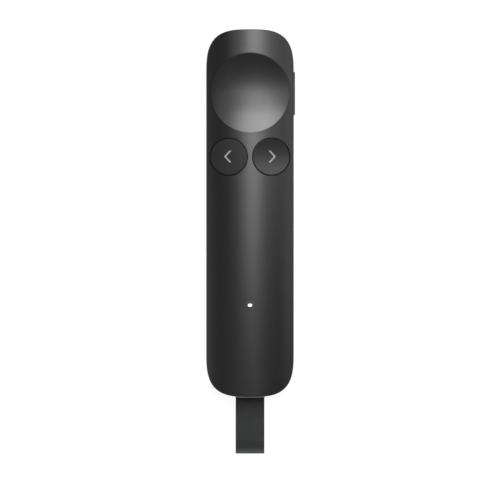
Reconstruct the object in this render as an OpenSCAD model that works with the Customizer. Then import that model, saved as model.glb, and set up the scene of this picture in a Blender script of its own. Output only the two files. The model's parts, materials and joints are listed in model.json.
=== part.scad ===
// Wireless presentation clicker: a slim hand-held remote with a large dished key, two small
// round keys, a key in its right side and a radio receiver that stows in its lower end.
// It lies on its back. +Z is the key face, +Y the dish end, +X the side with the side key,
// and the origin is the middle of the flat back. Sizes are in millimetres.

/* [Body] */
// Length of the housing
body_l = 127.5; // [124:0.5:145]
// Width of the housing
body_w = 30.4; // [30.2:0.2:36]
// Thickness at the middle of the crowned face
body_t = 13; // [12.9:0.1:15]
// Length of each rounded end
end_depth = 15.8; // [14:0.2:19]
// Squareness of the rounded ends, where 2 is an ellipse
end_power = 3.2; // [2.8:0.1:4]
// Radius of the crown across the face
crown_r = 45; // [43:1:200]
// Radius rolled round the face
face_edge_r = 0.3; // [0.2:0.05:1.3]
// Radius rolled round the back
back_edge_r = 2.4; // [1.6:0.1:2.5]
// Height of the parting line above the back
seam_z = 2.6; // [2.6:0.05:2.8]

/* [Walls] */
// Side wall of the housing
side_wall = 1.1; // [0.9:0.05:1.2]
// Wall of the key face
face_wall = 1.4; // [1.2:0.05:1.5]
// Wall of the back cover
back_wall = 1.4; // [1.2:0.05:1.6]
// Lip of the back cover inside the top shell
lip_t = 0.8; // [0.6:0.05:1]
// Height of the lip above the parting line
lip_h = 1.1; // [0.8:0.05:1.2]

/* [Dish key] */
// Land between the dish and the side of the housing
dish_land = 1.4; // [1.3:0.05:3]
// Distance of the dish's centre from the upper end
dish_from_end = 21.7; // [21:0.1:23]
// Depth of the dish below the crown
dish_depth = 1; // [0.8:0.1:1.6]
// Thickness of the dish
dish_wall = 1.3; // [1:0.1:1.5]
// Seam round the dish
dish_seam = 0.15; // [0.1:0.01:0.25]
// Travel of the dish key
dish_travel = 0.5; // [0.3:0.05:0.6]

/* [Small keys] */
// Land between a small key's hole and the side of the housing
key_land = 1.19; // [1.15:0.01:2]
// Web between the small keys' holes
key_web = 1.46; // [1.4:0.02:3]
// Dark ring round each small key
key_ring = 0.41; // [0.2:0.01:0.45]
// Depth to which the middles of the small keys lie below the crown
key_set = 0.2; // [0.1:0.05:0.3]
// Step along the body between the dish's hole and the small keys' holes
key_step = 1.81; // [1.5:0.01:6]
// Travel of the small keys
key_travel = 0.4; // [0.3:0.05:0.5]
// Depth of the trough across the forward key
forward_hollow = 0.2; // [0.1:0.05:0.4]
// Height of a chevron
chevron_h = 4.2; // [3:0.1:5]
// Width of a chevron
chevron_w = 2.4; // [2:0.1:3]
// Stroke of a chevron
chevron_stroke = 0.53; // [0.4:0.01:0.7]
// Depth to which a chevron is let in
chevron_depth = 0.25; // [0.15:0.05:0.3]

/* [Side key] */
// Length of the side key
side_key_l = 15; // [10:0.5:18]
// Height of the side key
side_key_h = 2.2; // [1.8:0.1:2.3]
// Distance of the side key's centre from the upper end
side_key_from_end = 22.05; // [20:0.05:26]
// Distance by which the side key stands out
side_key_proud = 0.45; // [0.4:0.05:0.8]
// Travel of the side key
side_key_travel = 0.3; // [0.2:0.05:0.35]

/* [Status light] */
// Width of the light
light_w = 1.5; // [1.2:0.1:2]
// Height of the light along the body
light_h = 1; // [0.8:0.1:1.2]
// Distance of the light from the lower end
light_from_end = 31.85; // [31.8:0.05:34]

/* [Board and battery] */
// Height of the board's underside above the back
board_z = 4; // [3.9:0.05:4.1]
// Thickness of the board
board_t = 1; // [0.8:0.1:1]
// Gap between the battery and the screw bosses
battery_gap = 1; // [0.5:0.1:2]
// Thickness of the battery
battery_t = 4.2; // [3:0.1:4.6]
// Foam under the battery
pad_t = 0.5; // [0.3:0.1:0.6]
// Diameter of the screws
screw_d = 1.6; // [1.4:0.1:1.8]
// Length of the screws under the head
screw_l = 4.6; // [4:0.1:5]

/* [Receiver] */
// Width of the receiver's cap
receiver_w = 13; // [12.8:0.1:13.4]
// Thickness of the receiver's cap
receiver_t = 6.4; // [6.2:0.05:6.5]
// Length of the receiver's cap inside the housing
receiver_cap_l = 6.5; // [6.3:0.1:6.7]
// Gap round the receiver's cap
receiver_gap = 0.1; // [0.08:0.01:0.15]
// Width of the plug
plug_w = 12; // [12:0.01:12.1]
// Thickness of the plug
plug_t = 4.5; // [4.4:0.01:4.5]
// Length of the plug beyond the cap
plug_l = 12; // [11.75:0.05:12.1]
// Sheet of the plug's shell
plug_sheet = 0.3; // [0.25:0.01:0.35]
// Depth of the bay that holds the receiver
bay_depth = 23.2; // [23.1:0.1:23.3]
// Wall of the dock round the bay
dock_wall = 0.6; // [0.5:0.05:0.6]

/* [Ribbon] */
// Width of the ribbon
ribbon_w = 10; // [8:0.5:10.2]
// Thickness of the ribbon
ribbon_t = 0.7; // [0.5:0.05:0.75]
// Length of the ribbon beyond the housing
ribbon_out = 19.9; // [12:0.1:40]
// Diameter of the pin that holds the ribbon
tab_pin_d = 1.2; // [1:0.1:1.3]
// Distance of the pin from the lower end
tab_pin_in = 2.75; // [2.7:0.05:2.9]
// Swing of the ribbon to each side
ribbon_swing = 25; // [10:1:25]

/* [Hidden] */

// Smoothness of round things, of the crown, of the keys' faces and of faceted surfaces
$fn = 72;
crown_fn = 360;
face_fn = 1440;
end_steps = 40;
roll_steps = 5;
inner_steps = 3;
dish_sides = 64;
dish_rings = 7;
dish_under_rings = 4;
lead_sides = 8;
corner_steps = 5;

// Allowance by which a cutting body passes the face it opens
past = 1;
// Fine clearance of pieces that slide or seat
slip = 0.05;
// Clearance round a screw's thread and the ribbon's pin
thread_slip = 0.02;
// Clearance round the side key and the light
side_slip = 0.15;
// Depth to which one feature reaches into the wall that carries it
bite = 0.7;

half_w = body_w / 2;
half_l = body_l / 2;
inner_w = half_w - side_wall;
end_centre = half_l - end_depth;
inner_r = 0.5;
cover_inner_r = 0.8;
part_gap = 0.08;

// Levels of the board, the switches and the keys' flanges
board_top = board_z + board_t;
switch_w = 6;
switch_h = 2;
switch_top = board_top + switch_h;
plunger_r = 1;
plunger_h = 0.8;
plunger_top = switch_top + plunger_h;
flange_t = 0.6;
flange_over = 0.5;
collar_t = 0.9;
collar_drop = 0.75;

// Places of the keys
dish_r = half_w - dish_land;
dish_y = half_l - dish_from_end;
dish_hole_r = dish_r + dish_seam;
key_hole_r = (half_w - key_land - key_web / 2) / 2;
key_r = key_hole_r - key_ring;
key_x = key_web / 2 + key_hole_r;
key_y = dish_y - dish_hole_r - key_step - key_hole_r;
side_key_y = half_l - side_key_from_end;
side_switch_h = 1.6;
side_key_z = board_top + side_switch_h / 2;
stem_r = 1.5;
skirt_t = 1.2;

// Places along the lower end
lower_end = -half_l;
light_y = lower_end + light_from_end;
bay_w = receiver_w + 2 * receiver_gap;
bay_t = receiver_t + 2 * receiver_gap;
bay_back = lower_end + bay_depth;
port_w = 8.94;
port_t = 3.2;
port_l = 7.3;
port_sheet = 0.3;
receiver_z = board_top + port_t / 2;
cap_inner = lower_end + receiver_cap_l;
plug_tip = cap_inner + plug_l;
plug_seat = 1.4;
tab_pin_y = lower_end + tab_pin_in;
dock_w = bay_w + 2 * dock_wall;
dock_t = bay_t + 2 * dock_wall;

// Battery between the small keys and the light
battery_room = 4;
battery_y1 = key_y - key_hole_r - battery_room;
battery_y0 = light_y + battery_room;
battery_z = board_top + pad_t;

// Screws beside the battery and above the dish
boss_r = 1.6;
boss_in = 1.9;
boss_x = inner_w - boss_r - boss_in;
battery_w = 2 * (boss_x - boss_r - battery_gap);
screw_points = [
    [boss_x, battery_y1 + boss_r],
    [-boss_x, battery_y1 + boss_r],
    [boss_x, battery_y0 + boss_r],
    [-boss_x, battery_y0 + boss_r],
    [0, dish_y + dish_hole_r + flange_over + boss_r + battery_gap]];

// Height of the crowned face at a distance x from the middle line
function face_z(x) = body_t - crown_r + sqrt(crown_r * crown_r - x * x);

// Undersides of the collars, and the keys' flanges below them
collar_z = face_z(half_w) - face_wall - collar_drop;
flange_top = collar_z - slip;
flange_z = flange_top - flange_t;

// Point of the outline drawn in by inset, at a bearing from 0 to 180 over one end
function end_point(inset, bearing) =
    let (c = cos(bearing), s = sin(bearing),
        k = pow(pow(abs(c), end_power) + pow(abs(s), end_power), -1 / end_power))
    [(half_w - inset) * c * k, end_centre + (end_depth - inset) * s * k];

// Whole outline drawn in by inset: one end, and the same end turned half round
function outline(inset) =
    [for (turn = [1, -1]) for (i = [0 : end_steps])
        turn * end_point(inset, 180 * i / end_steps)];

// Distance from the middle to the end wall drawn in by inset, at a distance x off the middle
function end_reach(x, inset) = end_centre
    + (end_depth - inset) * pow(1 - pow(abs(x) / (half_w - inset), end_power), 1 / end_power);

// Outline as a ring on a level plane, and as a ring at a drop below the crowned face
function level_ring(inset, z) = [for (p = outline(inset)) [p[0], p[1], z]];
function face_ring(inset, drop) = [for (p = outline(inset)) [p[0], p[1], face_z(p[0]) - drop]];

// Inset and drop of a quarter round of radius r at an angle from 0, upright, to 90, level
function roll_inset(r, angle) = r * (1 - cos(angle));
function roll_drop(r, angle) = r * (1 - sin(angle));

// Triangles between ring k and ring k + 1 of n points each
function band(k, n) = [for (i = [0 : n - 1]) for (half = [0, 1])
    let (a = k * n + i, b = k * n + (i + 1) % n)
    half == 0 ? [a, b, b + n] : [a, b + n, a + n]];

// Strips that close a ring from one end of the outline to its mirror image
function strips(n, base, up) = [for (i = [0 : n / 2 - 2])
    let (f = [base + n - 1 - i, base + n - 2 - i, base + i + 1, base + i])
    up ? f : [f[3], f[2], f[1], f[0]]];

// Cup through rings that run from the upward cap over the outside to the downward cap
module cup(rings) {
    n = len(rings[0]);
    last = len(rings) - 1;
    polyhedron(
        points = [for (ring = rings) each ring],
        faces = concat(
            strips(n, 0, true),
            [for (k = [0 : last - 1]) each band(k, n)],
            strips(n, last * n, false)));
}

// Lens between two centre points through rings that run out over the top and back below
module lens(top, rings, bottom) {
    n = len(rings[0]);
    last = len(rings) - 1;
    polyhedron(
        points = concat([for (ring = rings) each ring], [top, bottom]),
        faces = concat(
            [for (i = [0 : n - 1]) [(last + 1) * n, (i + 1) % n, i]],
            [for (k = [0 : last - 1]) each band(k, n)],
            [for (i = [0 : n - 1]) [last * n + i, last * n + (i + 1) % n, (last + 1) * n + 1]]));
}

// Rounded rectangle of width w and height h with corners of radius r
function rounded(w, h, r) = [for (q = [0 : 3]) for (i = [0 : corner_steps])
    let (a = 90 * q + 90 * i / corner_steps,
        sx = q == 0 || q == 3 ? 1 : -1,
        sy = q < 2 ? 1 : -1)
    [sx * (w / 2 - r) + r * cos(a), sy * (h / 2 - r) + r * sin(a)]];

// Prism of a rounded rectangle along Y, centred on x = 0 and the height z
module bar(w, h, r, y0, y1, z) {
    translate([0, y1, z]) rotate([90, 0, 0]) linear_extrude(y1 - y0) polygon(rounded(w, h, r));
}

// Block between two corners
module block(low, high) {
    translate(low) cube(high - low);
}

// Everything below the crowned face lowered by drop
module under_crown(drop) {
    translate([0, body_l, body_t - crown_r - drop]) rotate([90, 0, 0])
        cylinder(r = crown_r, h = 2 * body_l, $fn = crown_fn);
}

// Upright cylinder that ends at the crowned face lowered by drop
module crowned_post(x, y, r, z, drop) {
    intersection() {
        translate([x, y, z]) cylinder(r = r, h = body_t);
        under_crown(drop);
    }
}

// Flange of a key, trimmed clear of the side key's flange when that is pressed
side_flange_t = 0.6;
side_flange_over = 0.4;
side_flange_x = inner_w - slip - side_flange_t;
flange_trim = side_flange_x - side_key_travel - 3 * slip;

module key_flange(x, y, r) {
    intersection() {
        translate([x, y, flange_z]) cylinder(r = r, h = flange_t);
        block([-flange_trim, y - 2 * r, flange_z - past],
            [flange_trim, y + 2 * r, flange_top + past]);
    }
}

// Snap hooks of the back cover and the pockets that take them
hook_l = 6;
hook_reach = 0.3;
hook_z = seam_z + lip_h + 0.4;
hook_ys = [key_y + hook_l / 3, (battery_y0 + battery_y1) / 2, battery_y0 - hook_l];

module at_hooks() {
    for (side = [0, 1]) mirror([side, 0, 0])
        for (y = hook_ys) translate([0, y, 0]) children();
}

module snap_hook() {
    back = inner_w - lip_t;
    front = inner_w - 2 * slip;
    translate([0, hook_l / 2, 0]) rotate([90, 0, 0]) linear_extrude(hook_l)
        polygon([[back, seam_z], [front, seam_z], [front, hook_z],
            [front + hook_reach, hook_z + 0.1], [front + hook_reach, hook_z + 0.3],
            [front, hook_z + 0.8], [back, hook_z + 0.8]]);
}

// Housing
module shell_cup() {
    cup(concat(
        [for (i = [roll_steps : -1 : 0]) let (a = 90 * i / roll_steps)
            face_ring(roll_inset(face_edge_r, a), roll_drop(face_edge_r, a))],
        [level_ring(0, seam_z), level_ring(side_wall, seam_z)],
        [for (i = [0 : inner_steps]) let (a = 90 * i / inner_steps)
            face_ring(side_wall + roll_inset(inner_r, a), face_wall + roll_drop(inner_r, a))]));
}

module top_shell() {
    color([0.16, 0.16, 0.17]) difference() {
        union() {
            shell_cup();
            intersection() {
                union() {
                    crowned_post(0, dish_y, dish_hole_r + collar_t, collar_z, bite);
                    for (side = [-1, 1])
                        crowned_post(side * key_x, key_y, key_hole_r + collar_t, collar_z, bite);
                    for (p = screw_points) crowned_post(p[0], p[1], boss_r, board_top, bite);
                }
                linear_extrude(body_t) polygon(outline(bite / 2));
            }
        }
        translate([0, dish_y, collar_z - 6 * slip]) cylinder(r = dish_hole_r, h = body_t);
        for (side = [-1, 1]) translate([side * key_x, key_y, collar_z - 6 * slip])
            cylinder(r = key_hole_r, h = body_t);
        translate([0, light_y, collar_z]) linear_extrude(body_t)
            polygon(rounded(light_w + 2 * slip, light_h + 2 * slip, light_h / 2));
        translate([inner_w - past, side_key_y, side_key_z]) rotate([90, 0, 90])
            linear_extrude(side_wall + 2 * past)
            polygon(rounded(side_key_l + 2 * side_slip, side_key_h + 2 * side_slip,
                side_key_h / 2));
        bar(bay_w, bay_t, 1, lower_end - past, lower_end + side_wall + 2, receiver_z);
        for (p = screw_points) translate([p[0], p[1], board_top - past])
            cylinder(d = screw_d + 2 * thread_slip, h = screw_l + past);
        at_hooks() block(
            [inner_w - past, -hook_l / 2 - 0.3, hook_z - slip],
            [inner_w + hook_reach + slip, hook_l / 2 + 0.3, hook_z + 0.8]);
    }
}

// Ribs that hold the dock from below, and rails on the dock that meet the face
rib_t = 1;
rib_end = 2;
rib_x = bay_w / 2 - rib_t;

module back_cover() {
    lip_out = side_wall + slip;
    lip_in = lip_out + lip_t;
    joint_z = seam_z - part_gap;
    dock_low = receiver_z - dock_t / 2;
    color([0.15, 0.15, 0.16]) difference() {
        union() {
            cup(concat(
                [for (i = [inner_steps : -1 : 0]) let (a = 90 * i / inner_steps)
                    level_ring(lip_in + roll_inset(cover_inner_r, a),
                        back_wall + roll_drop(cover_inner_r, a))],
                [level_ring(lip_in, seam_z + lip_h), level_ring(lip_out, seam_z + lip_h),
                    level_ring(lip_out, joint_z), level_ring(0, joint_z)],
                [for (i = [0 : roll_steps]) let (a = 90 * i / roll_steps)
                    level_ring(roll_inset(back_edge_r, a), roll_drop(back_edge_r, a))]));
            at_hooks() snap_hook();
            for (side = [-1, 1]) block(
                [side * rib_x - rib_t / 2, cap_inner, back_wall / 2],
                [side * rib_x + rib_t / 2, bay_back - rib_end, dock_low - slip]);
        }
        block([-dock_w / 2 - 0.3, lower_end, dock_low - slip],
            [dock_w / 2 + 0.3, bay_back, body_t]);
    }
}

// Keys
function dish_z(x, r) = face_z(x) - dish_depth * (1 - (r / dish_r) * (r / dish_r));

function dish_ring(r, drop) = [for (i = [0 : dish_sides - 1])
    let (a = 360 * i / dish_sides, x = r * cos(a))
    [x, dish_y + r * sin(a), dish_z(x, r) - drop]];

module dish_plate() {
    lens(
        [0, dish_y, dish_z(0, 0)],
        concat(
            [for (i = [1 : dish_rings]) dish_ring(dish_r * i / dish_rings, 0)],
            [for (i = [dish_under_rings : -1 : 1])
                dish_ring(dish_r * i / dish_under_rings, dish_wall)]),
        [0, dish_y, dish_z(0, 0) - dish_wall]);
}

module dish_key() {
    skirt_out = dish_r - slip;
    skirt_in = skirt_out - skirt_t;
    color([0.18, 0.18, 0.19]) union() {
        dish_plate();
        difference() {
            union() {
                key_flange(0, dish_y, dish_hole_r + flange_over);
                crowned_post(0, dish_y, skirt_out, flange_top - 2 * slip, bite);
            }
            translate([0, dish_y, flange_z - past]) cylinder(r = skirt_in, h = body_t);
        }
        translate([0, dish_y, plunger_top])
            cylinder(r = stem_r, h = dish_z(0, 0) - dish_wall / 2 - plunger_top);
    }
}

// Frame of a small key: on its face at its middle, square to the crown there
module on_key(side) {
    translate([side * key_x, key_y, face_z(key_x) - key_set])
        rotate([0, side * asin(key_x / crown_r), 0]) children();
}

// Everything below the back key's face, a crown four times flatter than the housing's
module under_back_face() {
    flat_r = 4 * crown_r;
    on_key(-1) translate([0, body_w, -flat_r]) rotate([90, 0, 0])
        cylinder(r = flat_r, h = 2 * body_w, $fn = face_fn);
}

// Everything below the forward key's face, which is level across and troughed along Y
module under_forward_face() {
    reach = key_hole_r;
    trough_r = (reach * reach + forward_hollow * forward_hollow) / (2 * forward_hollow);
    on_key(1) difference() {
        block([-body_w, -reach, -2 * body_t], [body_w, reach, 0]);
        translate([-2 * body_w, 0, trough_r - forward_hollow]) rotate([0, 90, 0])
            cylinder(r = trough_r, h = 4 * body_w, $fn = face_fn);
    }
}

// Small key without its face: a cap and a flange, hollow round a stem that meets the switch
module key_blank(side) {
    x = side * key_x;
    under = face_z(key_x + key_r) - collar_drop;
    difference() {
        union() {
            key_flange(x, key_y, key_hole_r + flange_over);
            translate([x, key_y, flange_top - 2 * slip]) cylinder(r = key_r, h = body_t);
        }
        difference() {
            translate([x, key_y, flange_z - past])
                cylinder(r = key_r - skirt_t, h = under - flange_z + past);
            translate([x, key_y, plunger_top]) cylinder(r = stem_r, h = body_t);
        }
    }
    translate([x, key_y, plunger_top]) cylinder(r = stem_r, h = under - plunger_top + bite / 2);
}

// Chevron that points along -X, with its middle a little outward of the key's middle
chevron_shift = 0.44;

module chevron_prism(low, high) {
    across = chevron_stroke * sqrt(1 + pow(2 * (chevron_w - chevron_stroke) / chevron_h, 2));
    run = chevron_w - across;
    translate([-chevron_w / 2 - chevron_shift, 0, low]) linear_extrude(high - low)
        polygon([[0, 0], [run, -chevron_h / 2], [chevron_w, -chevron_h / 2],
            [chevron_w - run, 0], [chevron_w, chevron_h / 2], [run, chevron_h / 2]]);
}

// Chevrons from the floor of their pockets to a height above the face at the key's middle
module back_mark(high) {
    on_key(-1) chevron_prism(-chevron_depth, high);
}

module forward_mark(high) {
    on_key(1) mirror([1, 0, 0]) translate([0, 0, -forward_hollow])
        chevron_prism(-chevron_depth, high);
}

module back_key() {
    color([0.17, 0.17, 0.18]) difference() {
        intersection() {
            key_blank(-1);
            under_back_face();
        }
        back_mark(past);
    }
}

module back_chevron() {
    color([0.66, 0.66, 0.66]) back_mark(0);
}

module forward_key() {
    color([0.17, 0.17, 0.18]) difference() {
        intersection() {
            key_blank(1);
            under_forward_face();
        }
        forward_mark(past);
    }
}

module forward_chevron() {
    color([0.66, 0.66, 0.66]) forward_mark(0);
}

side_stem_l = 0.85;
side_plunger_out = 0.7;
side_plunger_x = side_flange_x - side_stem_l;
side_switch_x = side_plunger_x - side_plunger_out;

module side_key() {
    color([0.14, 0.14, 0.15]) translate([0, side_key_y, side_key_z]) {
        translate([side_flange_x, 0, 0]) rotate([90, 0, 90])
            linear_extrude(side_flange_t)
            polygon(rounded(side_key_l + 4 * side_flange_over, side_key_h + 2 * side_flange_over,
                side_key_h / 2));
        translate([side_flange_x + side_flange_t / 2, 0, 0]) rotate([90, 0, 90])
            linear_extrude(half_w + side_key_proud - side_flange_x - side_flange_t / 2)
            polygon(rounded(side_key_l, side_key_h, side_key_h / 2 - slip));
        translate([side_plunger_x, 0, 0]) rotate([0, 90, 0])
            cylinder(r = 0.7, h = side_flange_x - side_plunger_x + side_flange_t / 2);
    }
}

// Status light: a clear pipe glued under the face, over a small lamp on the board
pipe_r = 0.8;
led_h = 0.6;

module light_pipe() {
    ceiling = body_t - face_wall;
    color([0.9, 0.92, 0.95]) translate([0, light_y, 0]) {
        translate([0, 0, ceiling - 0.4]) linear_extrude(face_wall + 0.4 - thread_slip)
            polygon(rounded(light_w, light_h, light_h / 2 - slip));
        translate([0, 0, ceiling - 0.65]) cylinder(r = 2 * pipe_r, h = 0.6);
        translate([0, 0, board_top + led_h + 0.3])
            cylinder(r = pipe_r, h = ceiling - board_top - led_h - 0.6);
    }
}

module status_led() {
    color([0.95, 0.95, 0.85]) translate([0, light_y, board_top])
        union() {
            block([-0.8, -0.4, 0], [0.8, 0.4, led_h / 2]);
            block([-0.5, -0.4, led_h / 4], [0.5, 0.4, led_h]);
        }
}

// Board and what stands on it
board_edge = side_wall + slip + lip_t + 0.5;
board_low = bay_back + 0.85;

module main_board() {
    color([0.08, 0.25, 0.15]) difference() {
        intersection() {
            translate([0, 0, board_z]) linear_extrude(board_t) polygon(outline(board_edge));
            block([-body_w, board_low, 0], [body_w, body_l, body_t]);
        }
        for (p = screw_points) translate([p[0], p[1], 0]) cylinder(d = screw_d + 0.2, h = body_t);
    }
}

// Top-pressed switch: a square base with four legs, and a stepped well for its plunger
well_r = 1.45;
well_spare = 0.15;
neck_h = 0.3;
plunger_foot = 0.3;
leg_w = 0.7;
leg_t = 0.2;
leg_out = 0.9;
leg_y = 2;

module switch_base(x, y, travel) {
    floor_z = switch_h - neck_h - slip - plunger_foot - travel - well_spare;
    color([0.55, 0.55, 0.57]) translate([x, y, board_top]) difference() {
        union() {
            block([-switch_w / 2, -switch_w / 2, 0], [switch_w / 2, switch_w / 2, switch_h]);
            for (side = [-1, 1]) for (end = [-1, 1]) block(
                [side * switch_w / 2 - leg_out, end * leg_y - leg_w / 2, 0],
                [side * switch_w / 2 + leg_out, end * leg_y + leg_w / 2, leg_t]);
        }
        translate([0, 0, floor_z]) cylinder(r = well_r, h = switch_h - neck_h - floor_z);
        translate([0, 0, floor_z]) cylinder(r = plunger_r + slip, h = switch_h);
    }
}

module switch_plunger(x, y) {
    color([0.1, 0.1, 0.1]) translate([x, y, switch_top - neck_h - slip]) union() {
        translate([0, 0, -plunger_foot]) cylinder(r = well_r - 2 * slip, h = plunger_foot);
        translate([0, 0, -plunger_foot / 2])
            cylinder(r = plunger_r, h = neck_h + slip + plunger_h + plunger_foot / 2);
    }
}

module dish_switch_base() {
    switch_base(0, dish_y, dish_travel);
}

module dish_switch_plunger() {
    switch_plunger(0, dish_y);
}

module back_switch_base() {
    switch_base(-key_x, key_y, key_travel);
}

module back_switch_plunger() {
    switch_plunger(-key_x, key_y);
}

module forward_switch_base() {
    switch_base(key_x, key_y, key_travel);
}

module forward_switch_plunger() {
    switch_plunger(key_x, key_y);
}

// Side-pressed switch at the board's edge
side_switch_l = 4.6;
side_switch_w = 2.5;
side_well_r = 0.65;
side_neck_r = 0.45;
side_foot = 0.3;

module side_switch_base() {
    well = side_foot + slip + side_key_travel + well_spare;
    color([0.55, 0.55, 0.57]) translate([side_switch_x, side_key_y, side_key_z]) difference() {
        block([-side_switch_w, -side_switch_l / 2, -side_switch_h / 2],
            [0, side_switch_l / 2, side_switch_h / 2]);
        translate([-neck_h - well, 0, 0]) rotate([0, 90, 0]) cylinder(r = side_well_r, h = well);
        translate([-neck_h - well, 0, 0]) rotate([0, 90, 0])
            cylinder(r = side_neck_r, h = neck_h + well + past);
    }
}

module side_switch_plunger() {
    back = neck_h + slip + side_foot;
    color([0.1, 0.1, 0.1]) translate([side_switch_x - back, side_key_y, side_key_z])
        rotate([0, 90, 0]) union() {
            cylinder(r = side_well_r - slip, h = side_foot);
            translate([0, 0, side_foot / 2]) cylinder(r = side_neck_r - slip,
                h = back - side_foot / 2 + side_plunger_x - side_switch_x);
        }
}

shield_w = 10;
shield_l = 8;
shield_h = 1.2;
shield_y = (dish_y - switch_w / 2 + key_y + switch_w / 2) / 2;

module radio_shield() {
    color([0.75, 0.76, 0.78]) translate([0, shield_y, board_top]) union() {
        translate([0, 0, 0.2]) linear_extrude(shield_h - 0.2)
            polygon(rounded(shield_w, shield_l, 0.6));
        linear_extrude(0.3) polygon(rounded(shield_w + 0.8, shield_l + 0.8, 0.4));
    }
}

module antenna_chip() {
    chip_y = dish_y + dish_hole_r - 1;
    color([0.85, 0.85, 0.8]) translate([6, chip_y, board_top]) union() {
        block([-1.6, -0.8, 0], [1.6, 0.8, 1.1]);
        block([-1.7, -0.85, 0], [-1.2, 0.85, 0.9]);
        block([1.2, -0.85, 0], [1.7, 0.85, 0.9]);
    }
}

module battery_cell() {
    flap = 1.5;
    color([0.72, 0.74, 0.77]) union() {
        bar(battery_w, battery_t, 1.3, battery_y0, battery_y1 - flap, battery_z + battery_t / 2);
        bar(battery_w - 2, 1.4, 0.5, battery_y1 - 2 * flap, battery_y1,
            battery_z + battery_t / 2);
    }
}

module battery_pad() {
    color([0.2, 0.2, 0.22]) block(
        [-battery_w / 2 + 1.5, battery_y0 + 1, board_top],
        [battery_w / 2 - 1.5, battery_y1 - 3, battery_z]);
}

connector_y = battery_y1 + 3.4;
connector_h = 1.8;
lead_r = 0.4;

module battery_connector() {
    color([0.92, 0.9, 0.84]) translate([0, connector_y, board_top]) difference() {
        block([-2.5, -1.4, 0], [2.5, 1.4, connector_h]);
        for (x = [-1, 1]) block([x - 0.3, -0.5, connector_h - 0.4],
            [x + 0.3, 0.9, connector_h + past]);
    }
}

// Round lead along points in the plane x = const
function lead_ring(p, ahead) = [for (i = [0 : lead_sides - 1]) let (a = 360 * i / lead_sides)
    p + lead_r * (cos(a) * [1, 0, 0] + sin(a) * cross(ahead, [1, 0, 0]))];

module lead(points) {
    m = len(points);
    n = lead_sides;
    function ahead(i) = let (d = i == 0 || i == m - 1 ? [0, 1, 0] : points[i + 1] - points[i - 1])
        d / norm(d);
    polyhedron(
        points = [for (i = [0 : m - 1]) each lead_ring(points[i], ahead(i))],
        faces = concat(
            [[for (i = [n - 1 : -1 : 0]) i]],
            [for (k = [0 : m - 2]) each [for (f = band(k, n)) [f[2], f[1], f[0]]]],
            [[for (i = [0 : n - 1]) (m - 1) * n + i]]));
}

module battery_leads() {
    from_z = battery_z + battery_t / 2;
    to_z = board_top + connector_h / 2;
    from_y = battery_y1;
    to_y = connector_y - 1.4;
    color([0.75, 0.1, 0.1]) for (x = [-1, 1])
        lead([for (i = [0 : 8]) let (t = i / 8)
            [x, from_y + (to_y - from_y) * t, from_z + (to_z - from_z) * (1 - cos(180 * t)) / 2]]);
}

module board_screws() {
    head_h = 0.9;
    color([0.6, 0.6, 0.62]) for (p = screw_points) translate([p[0], p[1], board_z]) difference() {
        union() {
            translate([0, 0, -head_h]) cylinder(d = screw_d + 1.2, h = head_h);
            translate([0, 0, -head_h / 2]) cylinder(d = screw_d, h = screw_l - 0.2 + head_h / 2);
        }
        for (turn = [0, 90]) rotate([0, 0, turn]) block(
            [-0.7, -0.15, -head_h - past], [0.7, 0.15, -head_h / 2]);
    }
}

// Charge port at the end of the bay
module charge_port_shell() {
    color([0.7, 0.7, 0.72]) difference() {
        bar(port_w, port_t, port_t / 2 - slip, bay_back, bay_back + port_l, receiver_z);
        bar(port_w - 2 * port_sheet, port_t - 2 * port_sheet, port_t / 2 - port_sheet - slip,
            bay_back - past, bay_back + port_l - port_sheet, receiver_z);
    }
}

module charge_port_tongue() {
    back = bay_back + port_l - port_sheet;
    color([0.12, 0.12, 0.13]) union() {
        bar(port_w - 2 * port_sheet - 2 * slip, port_t - 2 * port_sheet - 2 * slip,
            port_t / 2 - port_sheet - 2 * slip, back - 1.2, back, receiver_z);
        bar(6.7, 0.7, 0.2, bay_back + 0.8, back - 0.6, receiver_z);
    }
}

// Dock that guides the receiver, held between the face, the end wall and two ribs
dock_mouth = -end_reach(dock_w / 2, side_wall) + 2 * slip;

module receiver_dock() {
    rail_top = face_z(rib_x + rib_t / 2) - face_wall - 2 * slip;
    color([0.2, 0.2, 0.21]) difference() {
        union() {
            bar(dock_w, dock_t, 1.2, dock_mouth, bay_back + dock_wall, receiver_z);
            for (side = [-1, 1]) block(
                [side * rib_x - rib_t / 2, dock_mouth + rib_end,
                    receiver_z + bay_t / 2 + dock_wall / 2],
                [side * rib_x + rib_t / 2, bay_back - rib_end, rail_top]);
        }
        bar(bay_w, bay_t, 0.8, dock_mouth - past, bay_back, receiver_z);
        bar(port_w + 0.2, port_t + 0.2, port_t / 2, bay_back - past, bay_back + past + dock_wall,
            receiver_z);
    }
}

spring_w = 5;

module dock_spring() {
    sheet = 0.2;
    roof = receiver_z + bay_t / 2;
    touch = receiver_z + plug_t / 2 + 0.6 * slip;
    fixed = cap_inner + 1;
    foot = fixed + 1.4;
    low = foot + 3.8;
    free = low + 3.4;
    pad = 0.5;
    color([0.8, 0.6, 0.35]) translate([-spring_w / 2, 0, 0]) rotate([90, 0, 90])
        linear_extrude(spring_w)
        polygon([[fixed, roof], [fixed, roof - sheet], [foot, roof - sheet],
            [low - pad, touch], [low + pad, touch], [free, roof - 1.5 * sheet],
            [free, roof - sheet / 2], [low + pad, touch + sheet], [low - pad, touch + sheet],
            [foot, roof]]);
}

// Receiver: cap, plug, tongue, contacts and board
pocket_w = ribbon_w + 0.6;
eye_r = tab_pin_d / 2 + slip;
eye_out = eye_r + ribbon_t;
mouth_half = (tab_pin_in + 0.4) * tan(ribbon_swing) + ribbon_t / cos(ribbon_swing) + 0.1;
lip_reach = 0.3;
lip_bar = 0.55;

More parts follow.
